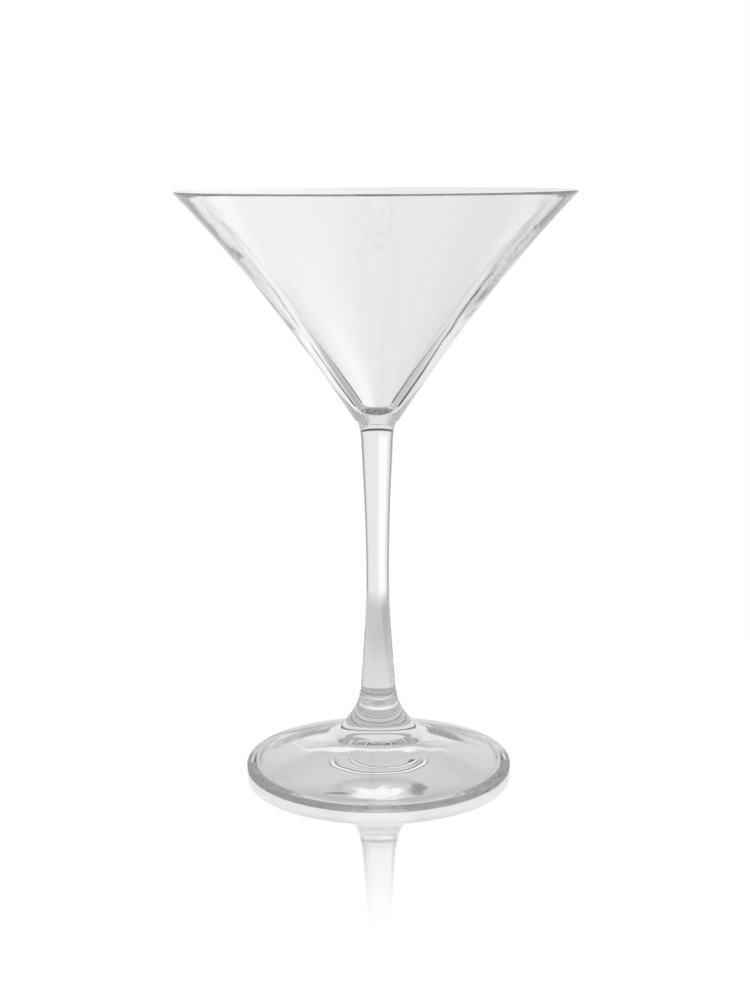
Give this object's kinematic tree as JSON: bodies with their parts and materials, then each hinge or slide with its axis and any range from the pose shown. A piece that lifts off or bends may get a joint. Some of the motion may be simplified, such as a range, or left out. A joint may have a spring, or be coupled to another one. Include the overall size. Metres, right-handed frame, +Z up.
{
  "type": "martini glass",
  "caption": "Stemmed martini glass with a flared conical bowl, a slim solid waisted stem and a round foot that slopes up to the stem.",
  "frame": {"origin": "centre of the plane that the foot stands on", "axes": "+Z up the glass's axis, from the foot to the rim; X and Y are alike, because every piece is round"},
  "size_m": [0.1174, 0.1174, 0.176],
  "materials": {
    "bowl_glass": "clear, fire-polished",
    "stem_glass": "clear, fire-polished",
    "foot_glass": "clear, fire-polished"
  },
  "bodies": {
    "root": {"bowl": "bowl_glass", "stem": "stem_glass", "foot": "foot_glass"}
  },
  "joints": []
}
